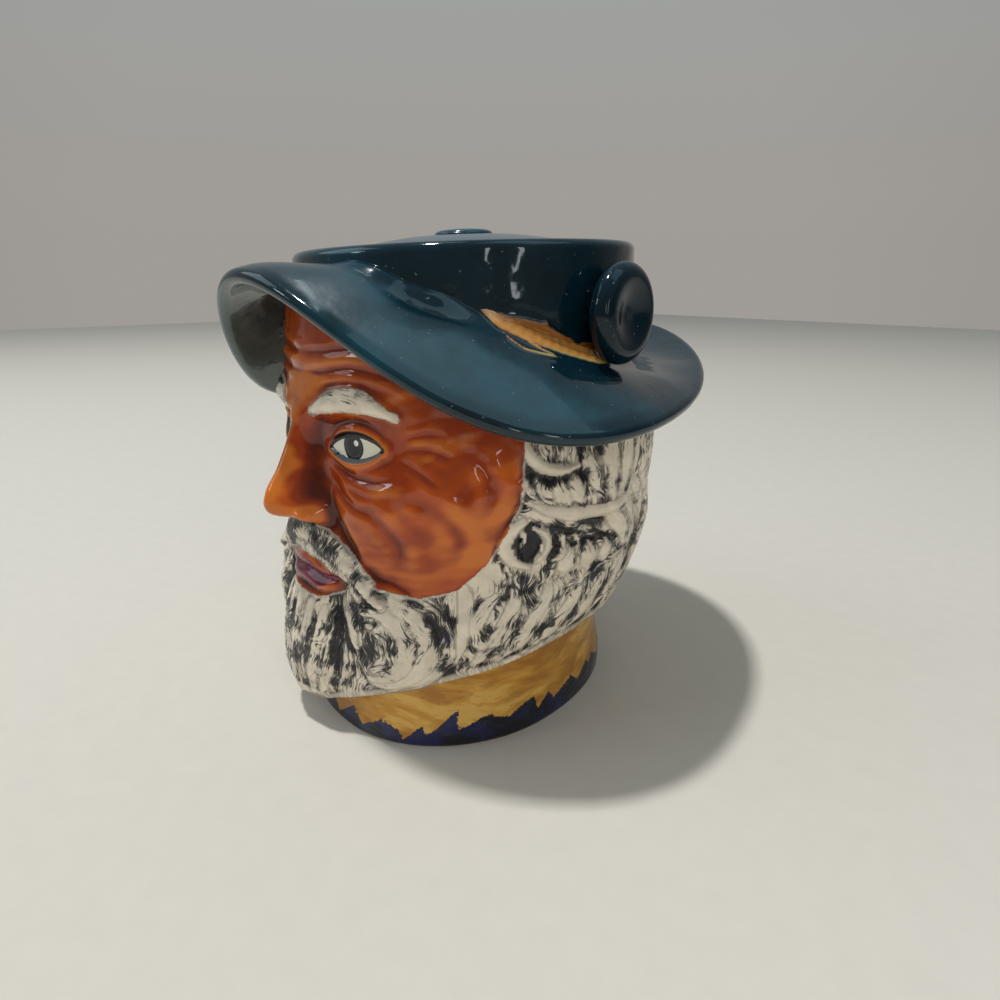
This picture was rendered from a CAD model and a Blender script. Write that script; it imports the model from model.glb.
import math
import bpy
import mathutils
import numpy as np
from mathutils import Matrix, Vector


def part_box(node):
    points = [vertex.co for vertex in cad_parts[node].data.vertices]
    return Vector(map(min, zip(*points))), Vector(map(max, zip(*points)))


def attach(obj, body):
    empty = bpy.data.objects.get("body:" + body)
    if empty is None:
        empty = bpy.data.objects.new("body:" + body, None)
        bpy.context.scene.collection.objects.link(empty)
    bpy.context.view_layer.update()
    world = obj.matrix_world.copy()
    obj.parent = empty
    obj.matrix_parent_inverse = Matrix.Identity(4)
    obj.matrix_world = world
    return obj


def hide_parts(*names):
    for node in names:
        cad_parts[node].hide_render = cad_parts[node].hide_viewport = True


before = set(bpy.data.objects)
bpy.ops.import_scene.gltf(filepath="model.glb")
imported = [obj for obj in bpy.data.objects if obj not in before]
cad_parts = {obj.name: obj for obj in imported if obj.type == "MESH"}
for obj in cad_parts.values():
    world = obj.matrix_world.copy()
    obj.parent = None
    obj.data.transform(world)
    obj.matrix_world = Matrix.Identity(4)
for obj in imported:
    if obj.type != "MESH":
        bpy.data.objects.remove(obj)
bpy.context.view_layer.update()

bucketLow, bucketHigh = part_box("bucket")

# Lengths below are in millimetres of the casting and angles in degrees round the head's axis:
# 0 is the face (-Y) and 90 the figure's left (+X). The frame's own height turns them into metres.
castingHeight = 203.3
unit = (bucketHigh[2] - bucketLow[2]) / castingHeight
axisBack = 9.0  # the head's axis stands this far behind the middle of the underside
arcLength = 1.45  # millimetres of surface per degree on the head
noiseSeed = 11


def softStep(start, end, value):  # a smooth ramp from 0 at start to 1 at end
    share = np.clip((value - start) / (end - start), 0, 1)
    return share * share * (3 - 2 * share)


def bell(gap, width):  # a Gaussian of height 1 over a distance
    return np.exp(-((gap / width) ** 2))


def hill(across, up, middle, height, width, rise):  # a Gaussian hill of height 1 over two distances
    return np.exp(-(((across - middle) / width) ** 2) - ((up - height) / rise) ** 2)


def through(knots, values, place):  # cubic spans whose end slopes come from the neighbouring knots
    knots = np.asarray(knots, float)
    values = np.asarray(values, float)
    slopes = np.gradient(values, knots, axis=0)
    span = np.clip(np.searchsorted(knots, place, side="right") - 1, 0, len(knots) - 2)
    width = knots[span + 1] - knots[span]
    share = np.clip((place - knots[span]) / width, 0, 1)
    if values.ndim == 1:
        start, end, rise, fall = values[span], values[span + 1], slopes[span], slopes[span + 1]
    else:
        start, end, rise, fall = (
            np.take_along_axis(table, index[None], 0)[0]
            for table, index in ((values, span), (values, span + 1), (slopes, span), (slopes, span + 1))
        )
    cube = share * share * (3 - 2 * share)
    bend = width * share * (1 - share)
    return start * (1 - cube) + end * cube + bend * (rise * (1 - share) - fall * share)


def along(knots, place):  # the same curve from pairs of place and value
    return through(*zip(*knots), place)


def smoothLine(points, count=28):  # points along a curve through angles and heights, in millimetres
    places = np.array(points, float) * (arcLength, 1)
    knots = np.concatenate([[0], np.cumsum(np.hypot(*np.diff(places, axis=0).T))])
    steps = np.linspace(0, knots[-1], count)
    return np.stack([through(knots, places[:, axis], steps) for axis in (0, 1)], axis=1)


def nearLine(across, up, line):  # distance to a line, above 0 on its left, and the length run along it
    near = np.full(across.shape, 1e9)
    side = np.ones(across.shape)
    run = np.zeros(across.shape)
    lengths = np.concatenate([[0], np.cumsum(np.hypot(*np.diff(line, axis=0).T))])
    for index, (start, end) in enumerate(zip(line[:-1], line[1:])):
        stepX, stepY = end - start
        offX = across - start[0]
        offY = up - start[1]
        share = np.clip((offX * stepX + offY * stepY) / (stepX**2 + stepY**2), 0, 1)
        gap = np.hypot(offX - share * stepX, offY - share * stepY)
        closer = gap < near
        near = np.where(closer, gap, near)
        side = np.where(closer, np.where(stepX * offY - stepY * offX < 0, -1.0, 1.0), side)
        run = np.where(closer, lengths[index] + share * (lengths[index + 1] - lengths[index]), run)
    return near, side, run, lengths[-1]


def insideOutline(across, up, outline):  # distance to a closed outline, above 0 inside it
    corners = np.array(outline, float) * (arcLength, 1)
    line = np.vstack([corners, corners[:1]])
    near = nearLine(across, up, line)[0]
    inside = np.zeros(across.shape, bool)
    for start, end in zip(line[:-1], line[1:]):
        crosses = (start[1] > up) != (end[1] > up)
        rise = end[1] - start[1]
        cut = start[0] + (up - start[1]) * (end[0] - start[0]) / (rise if rise else 1)
        inside ^= crosses & (across < cut)
    return np.where(inside, near, -near)


def ripple(across, up, wave, seed):  # a few crossing sine waves of about this length, from -1 to 1
    draw = np.random.default_rng(noiseSeed + seed)
    total = np.zeros(np.broadcast(across, up).shape)
    for turn, stretch, shift in zip(np.arange(7) * 26.0, draw.uniform(0.75, 1.4, 7), draw.uniform(0, 6.3, 7)):
        way = math.radians(turn)
        total += np.sin((across * math.cos(way) + up * math.sin(way)) * 2 * np.pi / (wave * stretch) + shift)
    return total / 3.5


def roundColumns(count):  # equally spaced angles all round, as one row
    return np.linspace(-180, 180, count, endpoint=False)[None]


def blurred(field, reach):  # a running mean over rows and round the columns, twice
    for _ in range(2):
        rows = np.cumsum(np.pad(field, ((reach + 1, reach), (0, 0)), mode="edge"), axis=0)
        field = (rows[2 * reach + 1 :] - rows[: -2 * reach - 1]) / (2 * reach + 1)
        columns = np.cumsum(np.pad(field, ((0, 0), (reach + 1, reach)), mode="wrap"), axis=1)
        field = (columns[:, 2 * reach + 1 :] - columns[:, : -2 * reach - 1]) / (2 * reach + 1)
    return field


def placed(radius, angle, height):  # polar sizes on the casting to points of the frame
    turn = np.radians(angle) + 0 * radius
    return np.stack([radius * np.sin(turn), axisBack - radius * np.cos(turn), height + 0 * radius], axis=-1)


def rolled(angle, height):  # the same place on a plain cylinder, so that paint runs round without a seam
    turn = np.radians(angle)
    across, out = (arcLength * 180 / np.pi * part for part in (np.sin(turn), -np.cos(turn)))
    return np.stack([across + 0 * height, height + 0 * turn, out + 0 * height], axis=-1)


def closedMesh(name, rings, fields=None, loop=False):
    # quads between rings of points that run up the outside, and a fan at each end or a last row to the first
    count, around = rings.shape[:2]
    column = np.arange(around)
    after = (column + 1) % around
    ring = np.arange(count if loop else count - 1)[:, None] * around
    above = (ring + around) % (count * around)
    quads = np.stack([ring + column, ring + after, above + after, above + column], axis=-1).reshape(-1, 4)
    points = rings.reshape(-1, 3)
    faces = quads.tolist()
    if not loop:
        points = np.vstack([points, rings[0].mean(axis=0), rings[-1].mean(axis=0)])
        top = (count - 1) * around
        faces += np.stack([after, column, np.full(around, count * around)], axis=-1).tolist()
        faces += np.stack([top + column, top + after, np.full(around, count * around + 1)], axis=-1).tolist()
    mesh = bpy.data.meshes.new(name)
    mesh.from_pydata((points * unit).tolist(), [], faces)
    mesh.shade_smooth()
    for title, field in (fields or {}).items():
        flat = field.reshape(count * around, -1)
        if not loop:
            flat = np.vstack([flat, flat[:around].mean(axis=0), flat[-around:].mean(axis=0)])
        wide = flat.shape[1] > 1
        layer = mesh.attributes.new(title, "FLOAT_VECTOR" if wide else "FLOAT", "POINT")
        layer.data.foreach_set("vector" if wide else "value", flat.astype(np.float32).ravel())
    return mesh


def addPiece(name, mesh, material):  # an object that rides on the fixed body, with its finish
    piece = bpy.data.objects.new(name, mesh)
    bpy.context.scene.collection.objects.link(piece)
    mesh.materials.append(material)
    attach(piece, "root")
    print(name, len(mesh.polygons), "faces")
    return piece


def rgb(red, green, blue):  # a colour as a screen shows it, 0 to 255, turned into light
    share = np.array([red, green, blue]) / 255
    return (*np.where(share <= 0.04045, share / 12.92, ((share + 0.055) / 1.055) ** 2.4), 1.0)


class Value:  # a shader socket that takes part in arithmetic
    def __init__(self, paint, socket):
        self.paint = paint
        self.socket = socket

    def maths(self, operation, *values):
        return self.paint.add("ShaderNodeMath", {"operation": operation}, values)

    def __add__(self, other):
        return self.maths("ADD", self, other)

    def __sub__(self, other):
        return self.maths("SUBTRACT", self, other)

    def __rsub__(self, other):
        return self.maths("SUBTRACT", other, self)

    def __mul__(self, other):
        return self.maths("MULTIPLY", self, other)

    def __truediv__(self, other):
        return self.maths("DIVIDE", self, other)

    __radd__ = __add__
    __rmul__ = __mul__

    def least(self, other):
        return self.maths("MINIMUM", self, other)

    def most(self, other):
        return self.maths("MAXIMUM", self, other)

    def size(self):
        return self.maths("ABSOLUTE", self)

    def root(self):
        return self.maths("SQRT", self)

    def clamped(self):
        return self.most(0.0).least(1.0)

    def above(self, edge, width):  # a ramp from 0 to 1, width wide, with its middle at edge
        return ((self - edge) / width + 0.5).clamped()


class Paint:  # the nodes of one material, or of the room's light
    def __init__(self, tree):
        self.tree = tree

    def add(self, kind, settings, values, out=0):
        node = self.tree.nodes.new(kind)
        for name, setting in settings.items():
            setattr(node, name, setting)
        for key, value in values.items() if isinstance(values, dict) else enumerate(values):
            self.feed(node.inputs[key], value)
        return Value(self, node.outputs[out])

    def feed(self, socket, value):
        if isinstance(value, Value):
            self.tree.links.new(value.socket, socket)
        else:
            socket.default_value = value

    def field(self, name, out="Fac"):  # a value that the mesh carries
        return self.add("ShaderNodeAttribute", {"attribute_name": name}, {}, out)

    def place(self, out="Object"):
        return self.add("ShaderNodeTexCoord", {}, {}, out)

    def parts(self, vector):
        outputs = self.add("ShaderNodeSeparateXYZ", {}, [vector]).socket.node.outputs
        return [Value(self, output) for output in outputs]

    def vector(self, x, y, z=0.0):
        return self.add("ShaderNodeCombineXYZ", {}, [x, y, z])

    def noise(self, vector, scale, detail=3.0, roughness=0.55, out=0):
        values = {"Vector": vector, "Scale": scale, "Detail": detail, "Roughness": roughness}
        return self.add("ShaderNodeTexNoise", {"noise_dimensions": "3D"}, values, out)

    def bent(self, vector, scale, reach):  # the same place, pushed about by a slow noise
        push = self.noise(vector, scale, 1.0, 0.5, 1)
        push = self.add("ShaderNodeVectorMath", {"operation": "SUBTRACT"}, [push, (0.5, 0.5, 0.5)])
        push = self.add("ShaderNodeVectorMath", {"operation": "SCALE"}, {0: push, "Scale": reach})
        return self.add("ShaderNodeVectorMath", {"operation": "ADD"}, [vector, push])

    def strokes(self, vector, across, up, seed, detail=3.0):  # noise drawn out along one way
        x, y, z = self.parts(vector)
        return self.noise(self.vector(x * across, y * up, z * across + seed), 1.0, detail, 0.6)

    def mix(self, first, second, share):  # from the first colour to the second
        return self.add("ShaderNodeMix", {"data_type": "RGBA"}, {"Factor": share, 6: first, 7: second}, 2)

    def coats(self, first, *coats):  # a colour with others over it, each as thick as its share
        colour = rgb(*first)
        for tint, share in coats:
            colour = self.mix(colour, rgb(*tint), share)
        return colour


def glaze(name, paintColour, roughness=0.1):
    # a fired gloss surface: paintColour(paint) gives the colour, the roughness if it varies, and bump
    material = bpy.data.materials.new(name)
    material.use_nodes = True
    paint = Paint(material.node_tree)
    shader = paint.tree.nodes["Principled BSDF"]
    look = {"Roughness": roughness, **paintColour(paint)}
    bump = look.pop("bump", None)
    if bump:
        height, distance = bump
        values = {"Strength": 1.0, "Distance": distance, "Height": height}
        look["Normal"] = paint.add("ShaderNodeBump", {}, values)
    for socket, value in look.items():
        paint.feed(shader.inputs[socket], value)
    return material


# The head is worked out for one side and mirrored about the middle of the face.
headShape = {
    "heights": [5, 20, 40, 60, 80, 110, 140, 160, 190],
    "form": {  # the radius at each height without features, one profile for each of these angles
        0: [89, 91.5, 90, 85, 80, 79, 80, 78, 76],
        25: [87, 88.5, 88, 85, 82, 80.5, 80.5, 78.5, 76],
        60: [82, 82.5, 84, 85, 85.5, 85, 82.5, 80, 76],
        95: [76, 76, 79, 83.5, 86.5, 87, 84.5, 81, 76],
        130: [69, 68.5, 73, 80, 86.5, 87.5, 86, 82, 76],
        180: [66.5, 66, 72, 79, 85.5, 87.5, 86, 82, 76],
    },
    "beardEdge": [(0, 8), (8, 12), (16, 17), (31, 25.2), (44, 31), (62, 37), (82, 43.6), (97, 46.2),
                  (130, 34), (180, 27)],
    "skin": [(-9, 200), (66, 200), (68, 133), (66.5, 108), (63, 98), (58, 84), (50, 73), (40, 69), (30, 72),
             (21, 75), (16, 66), (8, 61), (-9, 60)],
    "rows": 196,
    "spacing": [(0, 0.52), (50, 0.58), (80, 0.7), (120, 0.85), (180, 1.3)],  # degrees from column to column
    "strandWidth": 2.6,
    "strandDepth": 0.2,
    "lumps": [(0.16, 15, 1), (0.05, 6, 2)],  # depth, length and seed of each hand-made unevenness
    # hidden rows that close the wall: how far inside the plain form, and above which row
    "hidden": [(1.0, -1, 2), (5.0, -1, 1.5), (9.0, 0, 6), (4.0, 0, 0.6)],
}

# Broad rounded masses of hair: middle line by angle and height, half width and height
hairMasses = [
    ([(0, 50), (0, 27)], 21.0, 4.8),
    ([(27, 60), (33, 51), (34, 41)], 16.5, 4.4),
    ([(57, 53), (68, 57), (84, 63), (97, 70)], 13.0, 3.2),
    ([(70, 98), (69, 87)], 9.5, 2.6),
    ([(76, 136), (76, 124)], 10.0, 2.8),
    ([(73, 113), (81, 109)], 8.0, 2.2),
    ([(100, 136), (99, 121), (94, 109)], 14.0, 3.6),
    ([(97, 98), (103, 84)], 9.0, 2.6),
    ([(80, 81.5), (94, 82)], 6.5, 2.4),
]

# Each lock: middle line, half width, height and how dark it is painted
beardLocks = [
    ([(0, 58), (0, 40), (0, 24), (0, 10)], 4.2, 1.3, 0.3),
    ([(5.2, 58), (4.6, 42), (3.6, 26), (3, 13)], 4.0, 1.2, 0.3),
    ([(10.4, 57), (9.4, 44), (8, 30), (6.6, 16)], 4.0, 1.3, 0.2),
    ([(14.6, 54), (13.6, 44), (12.2, 32), (10.6, 19)], 4.0, 1.3, 0.4),
    ([(17.8, 53), (18, 42), (17, 31), (14.6, 21)], 3.8, 1.2, 0.3),
    ([(17.5, 63), (21.3, 55), (22.2, 46), (23.6, 33)], 2.4, 2.4, 0.9),
    ([(24, 72), (31, 72.5), (39, 68.5), (45, 60.5), (47.6, 50), (46.4, 40), (41, 33), (31, 27.5)],
     4.0, 1.3, 0.2),
    ([(24, 67), (31, 67.5), (38, 62.5), (42, 54), (42.2, 44), (37.5, 35), (26, 29)], 4.2, 1.3, 0.1),
    ([(24.5, 61.5), (30, 62), (35.2, 57), (37.4, 49), (36, 41), (31, 34), (25.5, 32)], 4.0, 1.3, 0.15),
    ([(26, 56), (29.5, 56), (32, 50), (31.4, 43), (27.6, 37)], 4.0, 1.3, 0.45),
    ([(50.5, 80), (52.4, 68), (51.8, 57), (50.2, 47), (49, 41)], 3.2, 1.2, 0.1),
    ([(60.5, 70), (56, 64), (54.6, 56), (56.4, 49.5), (61, 46)], 3.4, 1.5, 0.35),
    ([(54, 40), (58.4, 49), (62.6, 58), (65, 67), (66, 78)], 3.8, 1.3, 0.3),
    ([(61, 41), (66.6, 50), (71, 59), (74, 68), (75.4, 78)], 3.8, 1.3, 0.3),
    ([(69, 42), (74.8, 50), (79.4, 58), (83, 67), (85, 76)], 3.8, 1.3, 0.25),
    ([(77, 44), (83, 51), (88, 58.5), (91.6, 67), (93.6, 76)], 3.8, 1.3, 0.35),
    ([(87, 46), (92.4, 54), (97, 61), (100.4, 69), (102, 77)], 3.8, 1.4, 0.3),
    ([(97, 46), (102, 55), (106, 63), (109, 71), (110, 79)], 3.8, 1.4, 0.35),
    ([(107, 42), (112, 53), (116, 63), (118, 73)], 4.2, 1.4, 0.3),
    ([(79, 70), (88, 74.5), (98, 77.5), (110, 79.5)], 1.8, 1.0, 0.9),
]
hairLocks = [
    ([(67, 101.5), (63.4, 97), (62.2, 91), (64, 85.5), (68.5, 82)], 3.0, 2.4, -0.3),
    ([(69.4, 98.5), (73, 94.5), (73.4, 89), (70.4, 84)], 1.5, 2.2, -0.7),
    ([(76.4, 95), (78.6, 90.5), (78.2, 86), (75.4, 82.6)], 1.4, 1.9, -0.5),
    ([(82, 92), (83.4, 88.6), (82.2, 85)], 1.2, 1.4, -0.2),
    ([(68.6, 99), (68.6, 92), (67.4, 85)], 4.2, 0.3, 0.9),
    ([(61.6, 103), (66, 106), (72, 102.6), (80, 97), (88, 92.5)], 2.4, 1.5, 0.6),
    ([(74, 90.4), (82, 90.4), (90, 88.6), (97, 85)], 3.2, 0.5, 0.9),
    ([(67.4, 109), (74, 103.8), (82, 101), (92, 100.4), (101, 103), (110, 109.5)], 3.0, 2.2, -0.5),
    ([(66, 98), (67.2, 94.4), (66.2, 90.5)], 1.3, 1.5, -0.3),
    ([(91, 101), (96, 95), (99.6, 88), (101, 81)], 4.2, 1.5, 0.35),
    ([(99, 104), (104, 97.5), (107.6, 90), (109, 82)], 4.2, 1.5, 0.3),
    ([(106, 109), (111.4, 101), (115, 93), (116.4, 85)], 4.2, 1.5, 0.4),
    ([(79, 76), (79.6, 88)], 4.2, 1.3, 0.1),
    ([(86, 76), (86.4, 87.5)], 4.2, 1.3, 0.1),
    ([(92.6, 78), (93, 86)], 3.6, 1.2, 0.2),
    ([(87.4, 136), (86.6, 126), (87.2, 115), (90, 105)], 3.6, 1.3, 0.5),
    ([(93.4, 136), (93.2, 124), (92.8, 113), (93.4, 104)], 4.0, 1.3, 0.1),
    ([(99.4, 136), (100, 124), (98.8, 113), (96.4, 105)], 4.2, 1.3, 0.05),
    ([(105.8, 135), (106.8, 124), (105.4, 114), (101, 107)], 4.0, 1.3, 0.3),
    ([(112, 133), (113, 124), (111.6, 116), (107, 110)], 4.0, 1.3, 0.4),
    ([(68.2, 135), (68.6, 127), (71.6, 122), (77, 120), (83, 120)], 2.3, 2.6, -0.8),
    ([(72.6, 136), (72.6, 129), (73.4, 123)], 3.0, 0.8, 0.4),
    ([(76.8, 136), (76.8, 129), (77.2, 122)], 3.0, 0.8, 0.5),
    ([(81, 136), (81, 129), (81, 122)], 3.0, 0.8, 0.7),
    ([(86, 131), (84.6, 123), (83.6, 113)], 1.3, 0.4, 1.1),
    ([(66.6, 119), (67.6, 112.5), (71, 107.5)], 2.4, 1.4, -0.1),
    ([(71.4, 118), (71.8, 112), (75, 106.5)], 3.4, 1.3, 0.3),
    ([(76, 117.5), (76.6, 112), (79.6, 105.5)], 3.4, 1.3, 0.25),
    ([(81, 117), (81.6, 111), (84.4, 104.5)], 3.4, 1.3, 0.2),
]
moustacheLocks = [
    ([(-6, 83), (1, 84.5), (7, 84.5), (15, 80), (23, 73), (30, 66)], 4.6, 4.2, 0.35),
    ([(-6, 87), (1, 89), (6, 89.5), (13, 86), (20, 79.5), (27, 73.5)], 3.6, 3.6, 0.2),
    ([(-6, 79), (2, 79.5), (9, 78.5), (17, 73), (23, 66.5)], 3.2, 3.2, 0.1),
]
browLocks = [([(7.5, 139), (15, 144), (24, 145), (35, 139.5)], 4.6, 2.4, 0.35)]

# Where the brush left more dark slip or, below 0, less: angle, height, half width, half rise, amount
brushedAreas = [
    (76, 131, 8, 5, 0.5), (74.5, 115.8, 7, 2.6, 1.0), (93.5, 108, 5.5, 6, 0.6), (88, 122, 3, 9, 0.2),
    (68.6, 92, 3.6, 8, 0.9), (80, 93, 7, 4, 0.5), (82, 87, 8, 2.6, 0.35), (65, 74.5, 2.2, 3.6, 0.9),
    (45.8, 57.5, 2.8, 10, 0.7), (31, 47.5, 4.6, 7.5, 0.55), (17, 54.5, 3.4, 4, 1.0), (11, 36, 5, 9, 0.35),
    (33, 72, 5, 2.2, 0.5), (11, 82, 6, 8, 1.6), (20.5, 73, 3, 4.5, 0.5), (27.5, 67.5, 3, 4.5, 1.1),
    (60, 50, 8, 5, 0.25), (70, 47, 9, 3, 0.3), (96, 64, 6, 5, 0.35), (9.5, 139.5, 4.5, 5, 1.1),
    (18, 146, 8, 3.0, 0.8), (57, 78, 6, 8, -1.2), (51, 66, 2.2, 12, -0.5), (33, 60, 5, 6, -0.35),
    (38, 40, 6, 5, -0.3), (78, 76, 6, 5, -0.4), (98, 118, 6, 8, -0.4), (89, 81, 6, 4, -0.4),
    (32, 139, 6, 5, -0.8), (3, 79, 5, 4, -0.4),
    (8, 44, 15, 11, 0.35), (84, 127, 9, 8, -0.3), (90, 101, 9, 8, -0.15),
    # broad brushed patches round the back, with plain cream between them
    (118, 132, 11, 13, 0.5), (146, 112, 12, 14, 0.65), (171, 138, 9, 12, 0.55), (128, 66, 11, 14, 0.5),
    (158, 56, 13, 12, 0.6), (178, 88, 9, 12, 0.5), (116, 98, 9, 10, -0.4), (136, 142, 9, 8, -0.5),
    (160, 84, 8, 10, -0.5), (142, 80, 7, 10, -0.3), (176, 112, 9, 8, -0.4), (144, 40, 8, 8, -0.5),
]
backLockAngles = range(116, 182, 13)
eyeShape = {
    "middle": 31.0,
    "height": 126.3,
    "halfWidth": 13.5,
    "upper": 5.6,
    "lower": 4.4,
    "tilt": 0.8,
    "iris": (30.0, 126.8),
}

# Shallow furrows of a calm, ageing face: line by angle and height, depth and half width
furrows = [
    ([(-3, 153), (8, 154), (20, 156.5), (33, 154), (44, 148)], 0.55, 1.3),
    ([(-3, 161), (10, 162), (24, 164), (38, 161)], 0.5, 1.4),
    ([(11, 122), (18, 116.5), (28, 114.5), (37, 117.5)], 0.55, 1.5),
    ([(35, 124.5), (41, 120), (47, 113.5)], 0.4, 1.2),
    ([(37.5, 128.5), (44, 128), (51, 124)], 0.4, 1.2),
    ([(37, 132), (43, 134), (49, 133.5)], 0.35, 1.1),
    ([(24, 104), (31, 98), (35, 89), (33, 78)], 0.7, 2.6),
    ([(35, 112), (46, 105), (51, 94), (47, 82)], 0.6, 2.8),
    ([(52, 130), (58, 121), (59.5, 111), (56, 101)], 0.4, 2.2),
    ([(12, 112), (18, 106), (23, 103), (30, 104)], 0.5, 1.6),
]


def headForm(angle, height):  # each profile read at the height, then a curve through them by angle
    heights = headShape["heights"]
    radii = [through(heights, profile, height) for profile in headShape["form"].values()]
    return through(list(headShape["form"]), np.array(radii), np.abs(angle))


def dome(share):  # a round top: the height of a circle over the share of its radius
    return np.sqrt(np.clip(1 - share**2, 0, 1))


def layMasses(across, up):  # a fat round-topped bar along each middle line; the highest one shows
    relief = np.zeros(across.shape)
    for points, width, height in hairMasses:
        near = nearLine(across, up, smoothLine(points, 8))[0]
        relief = np.maximum(relief, height * dome(near / width))
    return relief


def layLocks(across, up, locks, firstNumber):
    # rounded locks tapered to both ends; where two meet the higher one shows and gives its own flow
    relief = np.zeros(across.shape)
    cover = np.full(across.shape, -9.0)
    flow = np.stack([across, up, np.zeros(across.shape)], axis=-1)
    dark = np.full(across.shape, 0.25)
    for number, (points, width, height, shade) in enumerate(locks, firstNumber):
        line = smoothLine(points)
        box = (across > line[:, 0].min() - width - 3) & (across < line[:, 0].max() + width + 3)
        box &= (up > line[:, 1].min() - width - 3) & (up < line[:, 1].max() + width + 3)
        near, side, run, length = nearLine(across[box], up[box], line)
        share = run / length
        taper = (0.45 + 0.55 * softStep(0, 0.3, share)) * (0.4 + 0.6 * softStep(1, 0.55, share))
        lift = height * dome(near / (width * taper)) * (0.6 + 0.4 * taper)
        cover[box] = np.maximum(cover[box], width * taper - near)
        wins = lift > relief[box]
        relief[box] = np.where(wins, lift, relief[box])
        own = np.stack([side * near, run, 0 * run + number * 5], axis=-1)
        flow[box] = np.where(wins[:, None], own, flow[box])
        dark[box] = np.where(wins, shade, dark[box])
    return relief, cover, flow, dark


def backLocks():  # rows of waved locks round the back, two tiers high
    locks = []
    for number, middle in enumerate(backLockAngles):
        shade = 0.25 + 0.2 * (number % 3)
        upper = [(middle, 150), (middle + 4, 132), (middle - 3, 116), (middle + 2, 101)]
        lower = [(middle + 4, 99), (middle + 8, 84), (middle + 1, 68), (middle + 6, 52), (middle + 2, 30)]
        locks += [(upper, 8.5, 3.4, shade), (lower, 8, 3.2, 0.7 - shade)]
    return locks


def nose(across, up):  # a ridge whose height and width change down the face, two wings and nostrils
    rise = through([88, 93, 97, 101, 106, 115, 125, 134, 144], [0, 5, 18.5, 21.5, 20.5, 15, 9.5, 5, 0], up)
    width = through([88, 96, 101, 108, 116, 126, 140], [10.5, 10.4, 10.2, 8.6, 7.2, 6.6, 9], up)
    ridge = rise * bell(across, width) * softStep(87, 92, up) * softStep(146, 136, up)
    wings = 7.5 * hill(across, up, 12, 97.5, 4.2, 4.6) - 1.6 * hill(across, up, 17.5, 99, 2.4, 6)
    return ridge + wings - 2.5 * hill(across, up, 6.8, 93.2, 2.6, 1.5)


def eyeOpening(across, up):  # distance inside the almond opening and the upper lid's line
    shape = eyeShape
    place = (across - shape["middle"]) / shape["halfWidth"]
    bow = np.clip(1 - place * place, 0, 1)
    level = shape["height"] + shape["tilt"] * place
    upper = level + shape["upper"] * bow**0.8
    lower = level - shape["lower"] * bow**0.9
    beyond = -np.hypot(shape["halfWidth"] * (np.abs(place) - 1), up - level)
    inside = np.where(np.abs(place) < 1, np.minimum(upper - up, up - lower), beyond)
    return place, upper, inside


def eye(across, up):  # a ball in the opening, a lid round it and a crease over the upper lid
    place, upper, inside = eyeOpening(across, up)
    socket = 4.8 * hill(across, up, 31, 127.5, 19, 11) + 1.6 * hill(across, up, 15, 130, 5, 7)
    ball = 3.4 * hill(across, up, 31, 126.3, 14, 9.5)
    lid = 1.7 * bell(inside + 1.8, 1.7) * (1 - softStep(-0.7, 0.3, inside))
    crease = 0.9 * bell(upper + 5.2 - up, 1.3) * softStep(1.15, 0.8, np.abs(place))
    return ball + lid - socket - crease


def lipLine(across):  # where the two lips meet: nearly level, with a slight wave
    return 70 + 0.6 * np.cos(across / 4)


def lipEdge(across, up):  # distance inside the painted lips
    reach = np.clip(1 - (across / 20.5) ** 2, 0, 1)
    middle = lipLine(across)
    return np.minimum(middle + 4.6 * reach**0.7 - up, up - middle + 6.4 * reach**0.9) - 0.6


def mouth(across, up):  # two closed lips with a line between them, over a hollow above the chin
    reach = np.clip(1 - (across / 21) ** 2, 0, 1)
    middle = lipLine(across)
    upper = 3.0 * bell(up - middle - 3.2, 2.7) * reach**0.7
    lower = 3.8 * bell(up - middle + 3.9, 3.4) * reach
    line = 1.8 * bell(up - middle, 1.0) * reach**0.5
    return upper + lower - line - 2 * hill(across, up, 0, 58.5, 13, 4) + 2 * hill(across, up, 0, 80, 22, 9)


def face(across, up):  # brow ridge, cheekbones and soft folds round the nose, the eyes and the mouth
    brow = 2.8 * hill(across, up, 20, 141, 19, 5.5) + 1.2 * hill(across, up, 0, 140, 7, 6)
    cheek = 3.4 * hill(across, up, 58, 109, 20, 13) + 3.0 * hill(across, up, 37, 97, 17, 14)
    near, _, run, length = nearLine(across, up, smoothLine([(10, 101), (15.5, 93), (20, 84), (22, 76)]))
    fold = 1.5 * bell(near, 2.6) * softStep(0, 0.2, run / length)
    temple = 1.6 * hill(across, up, 80, 134, 12, 16)
    features = brow + cheek - fold - temple + nose(across, up) + eye(across, up) + mouth(across, up)
    for points, depth, width in furrows:
        near, _, run, length = nearLine(across, up, smoothLine(points))
        share = run / length
        cut = bell(near, width) - 0.8 * bell(near - 2.2 * width, 1.2 * width)
        features -= depth * cut * softStep(0, 0.25, share) * softStep(1, 0.7, share)
    return features


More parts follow.
